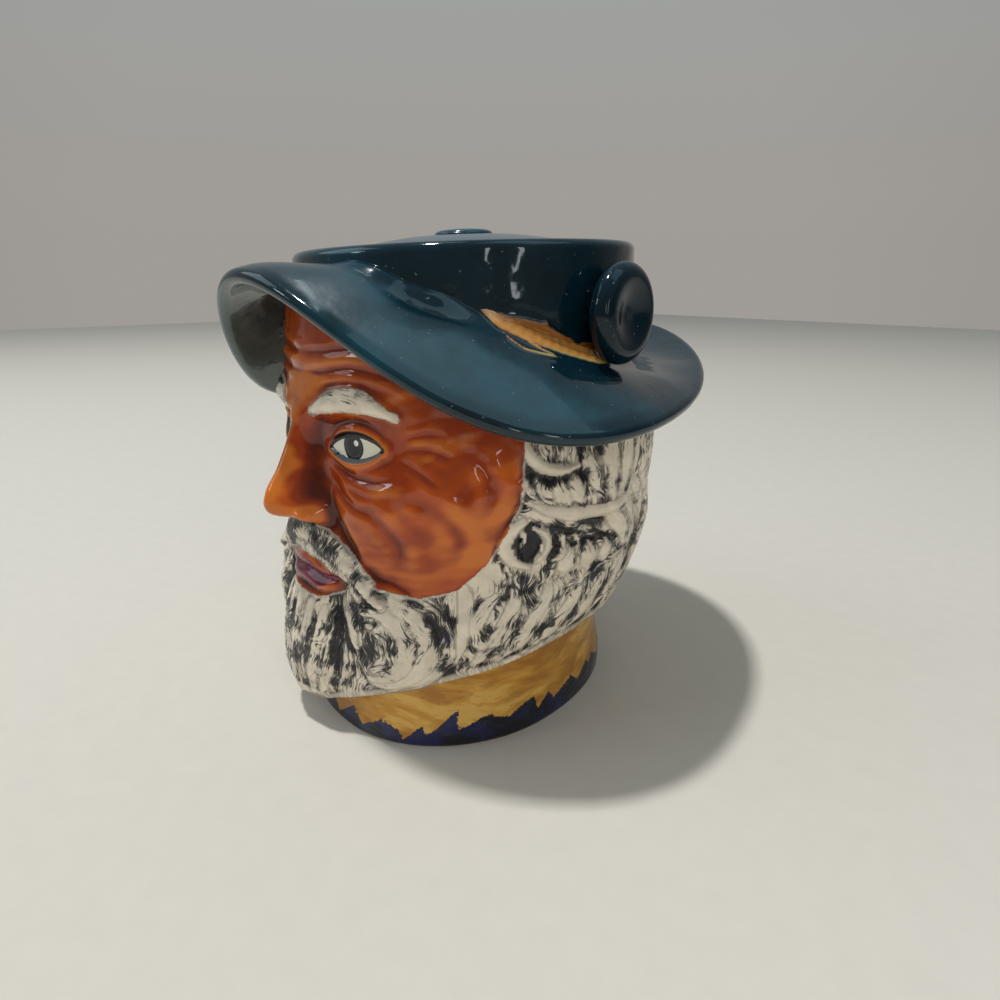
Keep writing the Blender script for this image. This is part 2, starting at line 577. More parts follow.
def headFields(angle, height):
    # the finished radius of the head, its relief over the plain form and the values that its paint reads
    side = np.sign(angle)
    across = np.abs(angle) * arcLength
    skin = insideOutline(across, height, headShape["skin"])
    features = face(across, height) * softStep(-3, 4, skin) + 1.2 * softStep(-2, 2.5, skin)
    # the locks' first numbers keep every lock's brush marks different
    hair, _, flow, dark = layLocks(across, height, beardLocks + hairLocks + backLocks(), 1)
    lip, lipCover, lipFlow, lipDark = layLocks(across, height, moustacheLocks, 71)
    lipFlow = lipFlow[..., [1, 0, 2]]  # short strokes across the moustache
    brow, browCover, browFlow, browDark = layLocks(across, height, browLocks, 81)
    for cover, ownFlow, ownDark in ((lipCover, lipFlow, lipDark), (browCover, browFlow, browDark)):
        flow = np.where((cover > -1)[..., None], ownFlow, flow)
        dark = np.where(cover > -1, ownDark, dark)
    edge = along(headShape["beardEdge"], np.abs(angle))
    hollow = hill(across, height, 69.5 * arcLength, 91, 3.2, 6)
    hair = blurred(layMasses(across, height) + hair, 1) - 1.5 * hollow
    hair *= (0.35 + 0.65 * softStep(edge, edge + 5, height)) * softStep(6, -1, skin)
    for middle, level, width, rise, amount in brushedAreas:
        dark = dark + amount * hill(across, height, middle * arcLength, level, width * arcLength, rise)
    wave = flow[..., 0] + 0.5 * np.sin(flow[..., 1] / 5 + flow[..., 2])
    strand = np.cos(2 * np.pi * wave / headShape["strandWidth"] + flow[..., 2])
    hairEdge = np.maximum(-skin, np.maximum(lipCover, browCover))
    strand *= headShape["strandDepth"] * softStep(0, 2, hairEdge) * softStep(-0.6, 0.4, dark)
    arc = angle * arcLength
    lumps = sum(depth * ripple(arc, height, wave, seed) for depth, wave, seed in headShape["lumps"])
    relief = np.maximum(features, hair + 0.3 * features) + blurred(lip + brow, 1) + strand + lumps
    inside = eyeOpening(across, height)[2]
    irisAcross, irisHeight = eyeShape["iris"]
    fields = {
        "hairEdge": hairEdge,
        "flow": flow,
        "dark": dark,
        "eye": np.stack([side * (across - irisAcross), height - irisHeight, inside], axis=-1),
        "lips": lipEdge(across, height),
        "wrap": rolled(angle, height),
        "beardEdge": height - edge,
    }
    return headForm(angle, height) + relief, relief, fields


def denseAngles():  # columns close together over the face and wider apart round the back
    step = 0.05
    fine = np.linspace(-180, 180, round(360 / step) + 1)
    spacing = along(headShape["spacing"], np.abs(fine[:-1] + step / 2))
    total = np.concatenate([[0], np.cumsum(1 / spacing * step)])
    return np.interp(np.arange(0, 1, 1 / round(total[-1])) * total[-1], total, fine)


def makeHead(material):  # rows from the beard's edge up to the brim, closed by hidden rows inside the wall
    angle = denseAngles()[None]
    edge = along(headShape["beardEdge"], np.abs(angle))
    top = underBrim(angle[0])[1]
    steps = np.linspace(0, 1, headShape["rows"])[:, None]
    height = edge + (top - edge) * steps
    plain = headForm(angle + 0 * height, height)
    radius, relief, fields = headFields(angle + 0 * height, height)
    radius = plain + (radius - plain) * softStep(0, 4, top - height)
    fields["pool"] = (blurred(relief, 4) - relief) * (1 - 0.8 * softStep(100, 118, np.abs(angle)))
    deep, row, lift = zip(*headShape["hidden"])
    radius = np.vstack([radius, plain[list(row)] - np.array(deep)[:, None]])
    height = np.vstack([height, height[list(row)] + np.array(lift)[:, None]])
    for title, field in fields.items():
        fields[title] = np.concatenate([field, field[list(row)]])
    rings = placed(radius, angle, height)
    return addPiece("head", closedMesh("head", rings, fields, loop=True), material)


hatShape = {
    "crownBack": 2.4,
    "crownRadius": 75.5,
    "rimHeight": 200.9,
    "rimHalf": 3.4,
    "lean": 0.0327,  # rise of the leaning top over its width
    "leanAngle": -43.0,  # the side it leans towards
    "ledge": 5.5,
    "ledgeHeight": 193.5,
    "ledgeDepth": 4.5,
    "brimHalf": 3.0,
    "brimRoot": [(0, 194), (14, 194), (21, 193.2), (28, 190.4), (34, 186.6), (38, 184.2), (42, 182.6),
                 (50, 180.6), (58, 177.8), (66, 174.4), (88, 164), (110, 157), (140, 153), (180, 153)],
    "leave": [(0, -12), (25, -4), (45, -18), (62, -26), (80, -26), (110, -20), (140, -8), (180, 0)],
    "arrive": [(0, -18), (45, -43), (80, -44), (110, -22), (140, 8), (180, 28)],
    "fillet": [(0, 0), (10, 0), (35, 4), (47, 4), (58, 0.8), (90, 0.8), (130, 3), (180, 3)],
    "feather": [(57.5, 177.5), (66, 175.4), (71, 174.6), (76, 173), (77, 173.8), (78, 171.6), (86, 166),
                (88, 164), (92, 164.8), (98.5, 164), (104, 156), (97, 155.6), (90.5, 156), (78.5, 161),
                (69, 165.8), (62, 170.8)],
    "spine": [(58.5, 176.8), (68, 170.8), (79, 166), (90, 161), (103, 159)],
    "barbs": [[(62, 171), (64.5, 167), (67.5, 163.6), (71, 162), (75, 160.6), (78, 159.8)],
              [(68.2, 166.3), (70.8, 164.6), (73, 162.6), (76.3, 160.8)]],
    "rows": {"under": 44, "edge": 11, "upper": 70, "wall": 48, "rim": 14},
    "columns": 440,
}
mouthRadius = hatShape["crownRadius"] - 2 * hatShape["rimHalf"]  # inside the rim


def crownCircle(angle, radius):  # a circle of the crown, whose middle stands behind the head's axis
    back = hatShape["crownBack"]
    turn = np.radians(angle)
    return np.sqrt(radius**2 - (back * np.sin(turn)) ** 2) - back * np.cos(turn)


def leanAt(angle, radius):  # how far the leaning top lies below its middle here: a plane
    turn = math.radians(hatShape["leanAngle"])
    reach = radius * np.cos(np.radians(angle) - turn) + hatShape["crownBack"] * math.cos(turn)
    return hatShape["lean"] * reach


def brimEdge(angle):  # the middle of the rolled edge: a wavy ring, low at the sides and high at both ends
    turn = np.radians(angle)
    radius = 105.4 - 5.3 * np.cos(turn) + 1.8 * np.cos(2 * turn) - 0.8 * np.cos(3 * turn)
    radius += 7.0 * bell(np.abs(angle) - 75, 27)
    height = 152.2 + 6.2 * np.cos(turn) + 21.8 * np.cos(2 * turn) + 6.4 * np.cos(3 * turn)
    height += 2.5 * np.cos(4 * turn) + 2.8 * np.sin(turn) + 2.3 * np.sin(2 * turn)
    height += 2.4 * bell(np.abs(angle) - 88, 26)
    return radius, height


def brimSheet(angle, share):
    # the middle of the brim's wall from crown (0) to edge (1), a cubic curve, and its upward normal
    side = np.abs(angle)
    edgeRadius, edgeHeight = brimEdge(angle)
    rootRadius = crownCircle(angle, hatShape["crownRadius"]) - hatShape["brimHalf"] - 2
    rootHeight = along(hatShape["brimRoot"], side) - hatShape["brimHalf"]
    leave = np.radians(along(hatShape["leave"], side))
    arrive = np.radians(along(hatShape["arrive"], side))
    reach = 0.36 * np.hypot(edgeRadius - rootRadius, edgeHeight - rootHeight)
    points = [
        (rootRadius, rootHeight),
        (rootRadius + reach * np.cos(leave), rootHeight + reach * np.sin(leave)),
        (edgeRadius - reach * np.cos(arrive), edgeHeight - reach * np.sin(arrive)),
        (edgeRadius, edgeHeight),
    ]
    rest = 1 - share
    blend = (rest**3, 3 * rest**2 * share, 3 * rest * share**2, share**3)
    slope = (-(rest**2), rest**2 - 2 * rest * share, 2 * rest * share - share**2, share**2)
    radius, height = (sum(b * p[axis] for b, p in zip(blend, points)) for axis in (0, 1))
    outward, upward = (sum(s * p[axis] for s, p in zip(slope, points)) for axis in (0, 1))
    length = np.hypot(outward, upward)
    return radius, height, -upward / length, outward / length


def underBrim(angle):  # where the brim's underside leaves the head: its share of the brim and its height
    shares = np.linspace(0, 0.6, 601)[:, None]
    radius, height, side, up = brimSheet(angle[None], shares)
    radius = radius - side * hatShape["brimHalf"]
    height = height - up * hatShape["brimHalf"]
    clear = radius - headForm(angle + 0 * radius, height) > 0
    first = np.argmax(clear, axis=0)
    return shares[first, 0], height[first, np.arange(len(angle))]


def featherRelief(angle, height):
    # the leaf-shaped feather with a rib along its middle, and two thin barbs under it
    across = angle * arcLength
    inside = insideOutline(across, height, hatShape["feather"])
    rib, side, run, _ = nearLine(across, height, smoothLine(hatShape["spine"]))
    rise = 1.7 + 0.7 * bell(rib, 1.0) + 0.18 * np.cos(run * 1.5 + rib)
    relief = softStep(-0.8, 1.2, inside) * rise
    for barb in hatShape["barbs"]:
        near, _, run, length = nearLine(across, height, smoothLine(barb))
        taper = softStep(0, 0.2, run / length) * softStep(1, 0.8, run / length)
        relief += 0.7 * bell(near, 0.55) * taper
        inside = np.maximum(inside, 0.5 * taper - near)
    return relief, inside, side * rib


def makeHat(material):  # one closed wall: under the brim, over its edge, up the crown and down to the ledge
    shape = hatShape
    count = shape["rows"]
    half = shape["brimHalf"]
    angle = roundColumns(shape["columns"])
    crown = crownCircle(angle, shape["crownRadius"])
    share = underBrim(angle[0])[0]

    def plain(radius, height, under=0.0):  # rows without the feather: radius, height, underside, feather, rib
        flat = 0 * angle + 0 * radius
        return radius + flat, height + flat, under + flat, flat - 9, flat

    # underside, rolled edge and upper side of the brim
    outward = np.linspace(0, 1, count["under"])[:, None]
    radius, height, side, up = brimSheet(angle, share + (1 - share) * outward)
    rows = [plain(radius - side * half, height - up * half, 1.0)]
    radius, height, side, up = brimSheet(angle, np.array([[1.0]]))
    turn = np.radians(np.linspace(-75, 75, count["edge"]))[:, None]
    out = half * np.cos(turn)
    lift = half * np.sin(turn)
    under = softStep(-0.3, -0.8, np.sin(turn)) - softStep(-0.5, 0.1, np.sin(turn))
    rows.append(plain(radius + up * out + side * lift, height - side * out + up * lift, under))
    inward = np.linspace(1, 0, count["upper"])[:, None]
    radius, height, side, up = brimSheet(angle, 0.02 + 0.98 * inward)
    radius = radius + side * half
    height = height + up * half
    fillet = along(shape["fillet"], np.abs(angle)) * softStep(crown + 9, crown, radius) ** 2
    height = height + fillet
    relief, feather, rib = featherRelief(angle + 0 * radius, height - 0.1 * (radius - crown))
    turn = np.radians(angle)
    wave = 0.12 * ripple(radius * np.sin(turn), radius * np.cos(turn), 24, 3)
    lifted = relief + wave * softStep(crown, crown + 6, radius)
    thick = -softStep(0.86, 0.97, inward) + 0 * radius
    rows.append((np.maximum(radius, crown) + side * lifted, height + up * lifted, thick, feather, rib))

    # the crown's wall, its rounded rim and the ledge inside it
    start = rows[-1][1][-1]
    height = shape["rimHeight"] - shape["rimHalf"] - leanAt(angle, crown)
    height = start + (height - start) * np.linspace(0, 1, count["wall"])[1:, None]
    relief, feather, rib = featherRelief(angle + 0 * height, height)
    wave = 0.07 * ripple(angle * arcLength, height, 13, 4) * softStep(start, start + 8, height)
    rows.append((crown + relief + wave, height, 0 * height, feather, rib))
    middle = shape["crownRadius"] - shape["rimHalf"]
    turn = np.radians(np.linspace(12, 168, count["rim"]))[:, None]
    rim = crownCircle(angle, middle + shape["rimHalf"] * np.cos(turn))
    rows.append(plain(rim, shape["rimHeight"] + shape["rimHalf"] * (np.sin(turn) - 1) - leanAt(angle, rim)))
    ledge = mouthRadius - shape["ledge"]
    top = shape["ledgeHeight"]
    bottom = top - shape["ledgeDepth"]
    corners = [(mouthRadius, top + 0.8), (mouthRadius - 0.8, top), (ledge + 0.8, top), (ledge, top - 0.8)]
    corners += [(ledge, bottom + 1), (ledge + 1, bottom), (mouthRadius + 2, 184), (mouthRadius + 2, 178)]
    radii, heights = np.array(corners).T[..., None]
    radii = crownCircle(angle, radii)
    rows.append(plain(radii, heights - leanAt(angle, radii)))

    # hidden rows that close the piece inside the wall
    root = along(shape["brimRoot"], np.abs(angle))
    rows.append(plain(crown - 5, np.minimum(root - 10, 176)))
    first = rows[0][1][:1]
    rows.append(plain(headForm(angle, first) - 4, first + 1))
    radius, height, under, feather, rib = (np.vstack(layers) for layers in zip(*rows))
    wrap = np.stack([angle * arcLength + 0 * radius, height, radius], axis=-1)
    fields = {"hat": np.stack([under, feather, rib], axis=-1), "wrap": wrap}
    rings = placed(radius, angle, height)
    return addPiece("hat", closedMesh("hat", rings, fields, loop=True), material)


collarShape = {
    "base": [(0, 83.5), (10, 85.5), (22, 88), (35, 88.2), (46, 86.8), (62, 83), (87, 75.6), (128, 70.2),
             (180, 67)],
    "round": 2.5,
    "waist": 2.6,
    "inside": 9,
    "rows": 60,
    "columns": 420,
    "borderHeight": [(0, 8), (30, 10), (60, 12), (100, 13), (180, 12)],
    "teeth": 34,
    "long": [(38, 1.6), (47, 2.0)],  # one long drip and one high peak, by angle and half width
}


def baseRadius(angle):  # the foot's outline
    return along(collarShape["base"], np.abs(angle))


def jaggedBorder(angle, height):  # uneven slanting points along the collar's lower border
    draw = np.random.default_rng(noiseSeed)
    places = np.cumsum(draw.uniform(0.5, 1.5, 2 * collarShape["teeth"]))
    places = places / places[-1] * 360 - 180
    heights = draw.uniform(0.3, 1.0, places.size) * np.where(np.arange(places.size) % 2, 3.6, -4.4)
    slanted = angle - 0.45 * (height - 12)
    saw = np.interp(slanted, places, heights, period=360)
    drip, peak = (hill(slanted, 0, middle, 0, width, 1) for middle, width in collarShape["long"])
    return along(collarShape["borderHeight"], np.abs(angle)) + saw - 6 * drip + 5 * peak


def makeCollar(material):  # the underside, a rounded corner and the collar's wall, tucked in behind the beard
    angle = roundColumns(collarShape["columns"])
    base = baseRadius(angle)
    edge = along(headShape["beardEdge"], np.abs(angle)) + 1.5
    corner = collarShape["round"]
    turn = np.radians(np.linspace(-90, 0, 7))[:, None]
    rows = [(base * share, 0 * base) for share in (0.3, 0.6, 0.85, 0.95)]
    rows.append((base - corner + corner * np.cos(turn), corner + corner * np.sin(turn) + 0 * base))
    height = corner + (edge - corner) * np.linspace(0, 1, collarShape["rows"])[1:, None]
    lip = 0.8 * bell(height - jaggedBorder(angle, height), 1.4)
    rows.append((base - collarShape["waist"] * softStep(4, 26, height) + 0.4 * lip, height))
    inside = collarShape["inside"] + 0 * base
    rows += [(base - 6, edge + 0.5), (base - 8, inside), (base * 0.5, inside)]
    radius, height = (np.vstack([row[index] + 0 * angle for row in rows]) for index in range(2))
    fields = {"border": height - jaggedBorder(angle, height), "wrap": rolled(angle, height)}
    rings = placed(radius, angle, height)
    return addPiece("collar", closedMesh("collar", rings, fields), material)


liningShape = {"wall": 6.5, "floor": 7, "low": 12, "high": 187, "rows": 60, "columns": 180}


def makeLining(material):  # the inside of the vessel: the outer form drawn in by the wall, on a flat floor
    shape = liningShape
    angle = roundColumns(shape["columns"])
    edge = along(headShape["beardEdge"], np.abs(angle))
    root = along(hatShape["brimRoot"], np.abs(angle))
    collar = baseRadius(angle) - collarShape["waist"]
    crown = crownCircle(angle, hatShape["crownRadius"])
    height = np.linspace(shape["low"], shape["high"], shape["rows"])[:, None]
    radius = headForm(angle + 0 * height, height + 0 * angle)
    radius = collar + (radius - collar) * softStep(edge, edge + 18, height)
    radius = radius + (crown - radius) * softStep(root - 24, root - 8, height) - shape["wall"]
    outside = np.vstack([radius[:1] * share for share in (0.5, 0.9)] + [radius + 2.5])
    inside = np.vstack([radius[::-1], radius[0] - 1.5, radius[0] - 5, radius[0] * 0.5])
    outsideHeight = np.vstack([0 * angle + 5, 0 * angle + 5, height + 0 * angle])
    floor = 0 * angle + shape["floor"]
    insideHeight = np.vstack([height[::-1] + 0 * angle, floor + 1.5, floor, floor])
    rings = placed(np.vstack([outside, inside]), angle, np.vstack([outsideHeight, insideHeight]))
    return addPiece("lining", closedMesh("lining", rings), material)


def roundedProfile(corners, steps=5):  # each corner (radius, height, rounding) becomes a short curve
    points = []
    for index, (radius, height, rounding) in enumerate(corners):
        here = np.array([radius, height], float)
        if index in (0, len(corners) - 1) or not rounding:
            points.append(here)
            continue
        before = np.array(corners[index - 1][:2], float) - here
        after = np.array(corners[index + 1][:2], float) - here
        start = here + before * min(0.5, rounding / np.hypot(*before))
        end = here + after * min(0.5, rounding / np.hypot(*after))
        share = np.linspace(0, 1, steps)[:, None]
        points += list((1 - share) ** 2 * start + 2 * share * (1 - share) * here + share**2 * end)
    return np.array(points)


def turned(profile, around):  # rings of a profile of radius and height turned about the upright axis
    turn = np.linspace(0, 2 * np.pi, around, endpoint=False)[None]
    radius, height = profile.T[..., None]
    return np.stack([radius * np.sin(turn), -radius * np.cos(turn), height + 0 * turn], axis=-1)


lidShape = {
    "play": 1.2,
    "flangePlay": 1.5,
    "gap": 0.3,
    "crest": 207.3,
    "drop": 10.0,
    "knobTop": 209.5,
    "knobRadius": 13.0,
    "around": 144,
}


def makeLid(material):  # turned about the middle of the crown and leaning with it
    shape = lidShape
    edge = mouthRadius - shape["play"]
    flange = mouthRadius - hatShape["ledge"] - shape["flangePlay"]
    seat = hatShape["ledgeHeight"] + shape["gap"]
    crest = shape["crest"]
    knob = shape["knobRadius"]
    shoulder = crest - shape["drop"]
    reaches = np.linspace(edge - 3.5, 26, 14)
    dome = [(radius, crest - shape["drop"] * (radius / edge) ** 2, 0) for radius in reaches]
    under = [(radius, height - 5, 0) for radius, height, _ in dome[:1:-1]]
    corners = [(12, crest - 7, 0)] + under
    corners += [(flange - 4.5, seat - 1, 1), (flange - 4.5, seat - 5, 1), (flange, seat - 5, 1)]
    corners += [(flange, seat, 0.5), (edge, seat, 0.6), (edge, shoulder - 0.2, 2.0)] + dome
    corners += [(20, crest - 2.6, 3), (13, crest - 4, 3), (9, crest - 3.8, 2), (8.5, crest - 1.2, 1.5)]
    corners += [(knob, crest - 0.7, 1.0), (knob, crest + 0.5, 1.2)]
    corners += [(knob * share, shape["knobTop"] - 1.1 * share**2, 0.8) for share in (0.88, 0.7, 0.5, 0.3)]
    corners += [(1, shape["knobTop"], 0)]
    rings = turned(roundedProfile(corners), shape["around"]) - (0, 0, hatShape["ledgeHeight"])
    turn = math.radians(hatShape["leanAngle"])
    lean = mathutils.Matrix.Rotation(math.atan(hatShape["lean"]), 3, (math.cos(turn), math.sin(turn), 0))
    rings = rings @ np.array(lean).T + (0, axisBack + hatShape["crownBack"], hatShape["ledgeHeight"])
    return addPiece("domed_lid", closedMesh("domed_lid", rings), material)


buttonShape = {
    "radius": 19.2,
    "edge": 5.0,
    "dish": 2.2,
    "angle": 99.0,
    "reach": 85.0,
    "height": 175.5,
    "around": 112,
}


def makeButton(material):  # a dished disc with a round edge on a short stem, which points out from the crown
    shape = buttonShape
    flat = shape["radius"] - shape["edge"]
    bulge = np.radians(np.linspace(-85, 85, 22))
    edge = np.stack([flat + shape["edge"] * np.cos(bulge), shape["edge"] * np.sin(bulge)], axis=1)
    share = np.linspace(0.96, 0.03, 17)
    sink = shape["dish"] * (1 - softStep(0.2, 1, share))
    dish = np.stack([flat * share, shape["edge"] - sink], axis=1)
    stem = np.array([[4, -12], [9, -12], [9.3, -9], [10.2, -6.5], [12.2, -shape["edge"]]])
    local = turned(np.vstack([stem, edge, dish]), shape["around"])
    turn = math.radians(shape["angle"])
    outward = np.array([math.sin(turn), -math.cos(turn), 0.0])
    sideways = np.array([math.cos(turn), math.sin(turn), 0.0])
    middle = outward * shape["reach"] + (0, axisBack, shape["height"])
    upward = np.array([0.0, 0.0, 1.0])
    rings = middle + local[..., 2:] * outward + local[..., :1] * sideways + local[..., 1:2] * upward
    return addPiece("button", closedMesh("button", rings), material)


def headPaint(paint):  # skin, then hair, lips and eyes, each where its distance from its edge is above 0
    wrap = paint.field("wrap", "Vector")
    flow = paint.field("flow", "Vector")
    hairEdge = paint.field("hairEdge")
    dark = paint.field("dark")
    pool = paint.field("pool")
    wobble = paint.noise(wrap, 0.45, 2.0) - 0.5

    # skin: thin brown glaze in broad overlapping strokes, deeper in the hollows and worn light on the ridges
    soft = paint.bent(wrap, 0.016, 30.0)
    level = paint.strokes(soft, 0.018, 0.042, 3.0, 2.0)
    x, y, z = paint.parts(soft)
    slant = paint.strokes(paint.vector(x + y * 0.5, y - x * 0.35, z), 0.02, 0.058, 9.0, 2.0)
    hairs = paint.strokes(paint.bent(wrap, 0.02, 40.0), 0.1, 0.5, 5.0)
    skin = paint.coats(
        (154, 56, 14),
        ((190, 84, 24), (level + hairs * 0.06).above(0.55, 0.2)),
        ((214, 122, 42), (slant + hairs * 0.1 - pool * 0.2).above(0.61, 0.16) * 0.7),
        ((122, 38, 12), (level * 0.5 - slant * 0.5 + pool * 0.25).above(0.07, 0.14) * 0.7),
        ((58, 17, 7), (pool + wobble * 0.4).above(0.7, 0.7) * 0.85),
    )

    # hair: cream with dry brush marks that follow each lock
    across, run, lock = paint.parts(flow)
    across = across + (paint.noise(wrap, 0.075, 1.0) - 0.5) * 15.0
    streak = paint.noise(paint.vector(across * 1.0, run * 0.075, lock), 1.0, 4.0, 0.68)
    grain = paint.noise(paint.vector(across * 2.4, run * 0.24, lock), 1.0, 3.0, 0.74)
    patch = paint.noise(wrap, 0.14, 2.0, 0.5)
    charge = streak * 4.2 + grain * 2.6 + patch * 3.4 + dark + pool * 0.95
    marks = charge.above(5.65, 0.15) * (charge.above(5.9, 0.6) * 0.2 + 0.8)
    marks = marks * paint.field("beardEdge").above(2.6, 1.6)
    cream = paint.coats(
        (238, 226, 204),
        ((218, 205, 182), paint.noise(wrap, 0.16, 3.0).above(0.56, 0.3)),
        ((132, 127, 122), (charge - grain * 0.9).above(4.95, 0.45) * 0.5),
    )
    ink = paint.coats(
        (24, 23, 25),
        ((22, 22, 50), paint.noise(wrap, 0.09, 2.0).above(0.62, 0.1)),
        ((88, 86, 88), (grain - dark * 0.06).above(0.6, 0.14) * 0.7),
    )
    hairColour = paint.mix(cream, ink, marks * hairEdge.above(0.9, 1.0))
    hair = (hairEdge + wobble * 1.6).above(0.0, 0.3)
    colour = paint.mix(skin, hairColour, hair)

    # lips and eyes
    lip = paint.coats((104, 32, 58), ((150, 66, 88), hairs.above(0.55, 0.2)))
    colour = paint.mix(colour, lip, (paint.field("lips") + wobble * 0.6).above(0.0, 0.4) * (1 - hair))
    eyeX, eyeY, eyeInside = paint.parts(paint.field("eye", "Vector"))
    ring = (eyeX * eyeX + eyeY * eyeY).root()
    glint = (eyeX - 1.6) * (eyeX - 1.6) + (eyeY - 1.7) * (eyeY - 1.7)
    eye = paint.coats(
        (224, 219, 200),
        ((16, 18, 20), (5.3 - ring).above(0.0, 0.3)),
        ((58, 68, 74), (4.4 - ring).above(0.0, 0.3) * (ring - 3.4).above(0.0, 0.4) * 0.5),
        ((236, 236, 230), (1.3 - glint).above(0.0, 0.5)),
    )
    colour = paint.mix(colour, eye, eyeInside.above(0.0, 0.3))
    lidLine = 0.75 + eyeY.above(1.0, 4.0) * 0.7 + wobble * 0.3 - (eyeInside + 0.3).size()
    colour = paint.mix(colour, rgb(16, 11, 11), lidLine.above(0.0, 0.25))
    relief = level * 0.2 + (streak * 0.7 + grain * 0.3) * hair
    return {"Base Color": colour, "Roughness": 0.07 + hair * 0.07, "bump": (relief, 0.0006)}


def greenGlaze(paint, deep, thin):  # green from deep to thin in soft clouds, with tiny pale specks
    place = paint.place()
    cloud = paint.noise(place, 26.0, 4.0)
    speck = paint.noise(place, 900.0, 0.0).above(0.84, 0.03)
    return paint.coats(deep, (thin, cloud.above(0.52, 0.3)), ((140, 160, 160), speck * 0.35)), cloud


def hatPaint(paint):  # teal, paler where thin, with a greyer underside and an ochre feather
    wall, cloud = greenGlaze(paint, (6, 26, 34), (12, 42, 54))
    brim = greenGlaze(paint, (5, 37, 46), (12, 62, 76))[0]
    under, feather, rib = paint.parts(paint.field("hat", "Vector"))
    wrap = paint.field("wrap", "Vector")
    arc, level, reach = paint.parts(wrap)
    brush = paint.strokes(paint.bent(wrap, 0.04, 20.0), 0.05, 0.35, 4.0)
    fine = paint.noise(paint.place(), 160.0, 3.0)
    onBrim = reach.above(79.0, 5.0)
    # the glaze has run thin along the ridge and the outer brim, and pooled dark beside the crown
    thin = (reach - (arc.size() - 58.0) * 0.3 + cloud * 22.0 + brush * 10.0 - 101.0).above(0.0, 12.0)
    thin = thin * onBrim * (1 + under.least(0.0) * 0.9)
    front = (36.0 - arc.size() + brush * 8.0 - (level - 188.0) * 0.8).above(0.0, 10.0)
    green = paint.mix(wall, brim, thin.most(front * 0.9))
    mottle = cloud + fine * 0.2 + (reach - 95.0) * 0.005
    below = paint.coats((40, 62, 60), ((66, 92, 88), mottle.above(0.62, 0.3)))
    colour = paint.mix(green, below, (under + brush * 0.6).above(0.8, 0.3))
    barbs = paint.strokes(paint.vector(feather, rib), 0.5, 0.12, 2.0)
    golden = (1.6 - feather + brush).above(0.9, 0.9) * (80.0 - arc).above(0.0, 16.0)
    ochre = paint.coats(
        (186, 130, 62),
        ((140, 84, 32), (barbs + rib * 0.08).above(0.5, 0.14)),
        ((210, 172, 132), (1.6 - (arc - 87.0).size() * 0.3 - rib.size() * 0.5).above(0.6, 1.4)),
        ((218, 156, 50), golden),
        ((178, 160, 100), (0.55 - feather).above(0.0, 0.4) * (164.5 - level).above(0.0, 3.0)),
    )
    colour = paint.mix(colour, ochre, (feather + (barbs - 0.5) * 1.2).above(0.1, 0.3))
    matt = thin * (1 - under.most(0.0))
    roughness = 0.06 + matt * 0.22 + cloud.above(0.55, 0.4) * (0.04 + matt * 0.08)
    look = {"Base Color": colour, "Roughness": roughness, "bump": (cloud + fine * matt * 0.1, 0.0008)}
    return {**look, "Coat Weight": matt * 0.36, "Coat Roughness": 0.06}


def buttonPaint(paint):  # the same teal at its darkest
    green, cloud = greenGlaze(paint, (7, 24, 32), (14, 40, 52))
    look = {"Base Color": green, "Roughness": 0.06 + cloud.above(0.55, 0.4) * 0.06, "bump": (cloud, 0.0005)}
    return {**look, "Specular IOR Level": 0.32}


def lidPaint(paint):  # the same glaze, thinner and bluer
    green, cloud = greenGlaze(paint, (24, 54, 72), (44, 86, 108))
    return {"Base Color": green, "Roughness": 0.12 + cloud.above(0.55, 0.4) * 0.12, "bump": (cloud, 0.0005)}


def collarPaint(paint):  # ochre strokes over a dark blue foot, meeting in a ragged edge
    wrap = paint.field("wrap", "Vector")
    _, level, _ = paint.parts(wrap)
    x, y, z = paint.parts(paint.bent(wrap, 0.03, 12.0))
    slanted = paint.vector(x - y * 0.8, y + x * 0.3, z - y * 0.6)
    broad = paint.strokes(slanted, 0.03, 0.09, 2.0, 2.0)
    fine = paint.strokes(slanted, 0.12, 0.5, 6.0, 4.0)
    ochre = paint.coats(
        (178, 121, 35),
        ((206, 154, 58), (broad + fine * 0.3).above(0.63, 0.22)),
        ((220, 178, 96), (fine * 0.7 + broad).above(0.93, 0.1) * 0.6),
        ((150, 98, 28), (fine - broad).above(0.06, 0.08) * 0.55),
    )
    navy = paint.coats((9, 11, 20), ((22, 27, 76), paint.noise(wrap, 0.07, 3.0).above(0.52, 0.16)))
    wobble = (paint.noise(wrap, 0.6, 4.0, 0.65) - 0.5) * 5.0
    colour = paint.mix(navy, ochre, (paint.field("border") + wobble).above(0.0, 0.3))
    colour = paint.mix(rgb(206, 196, 174), colour, level.above(0.7, 0.3))
    return {"Base Color": colour, "bump": (fine + broad, 0.0006)}


def innerPaint(paint):  # off-white in faint clouds
    cloud = paint.noise(paint.place(), 40.0, 3.0)
    colour = paint.coats((226, 222, 208), ((208, 202, 186), cloud.above(0.5, 0.4)))
    return {"Base Color": colour, "bump": (cloud, 0.0004)}


def floorPaint(paint):  # a matt warm white
    grain = paint.noise(paint.place(), 90.0, 2.0)
    return {"Base Color": paint.coats((215, 209, 198), ((209, 203, 192), grain)), "Roughness": 0.9}


hatGlaze = glaze("green_hat_glaze", hatPaint)
head = makeHead(glaze("painted_head_glaze", headPaint))
hat = makeHat(hatGlaze)
collar = makeCollar(glaze("painted_collar_glaze", collarPaint, 0.12))
lining = makeLining(glaze("white_inner_glaze", innerPaint, 0.14))
button = makeButton(glaze("green_button_glaze", buttonPaint))
lid = makeLid(glaze("green_lid_glaze", lidPaint))
for piece in (head, hat, collar, lining, button):
    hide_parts("bucket")
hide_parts("lid")


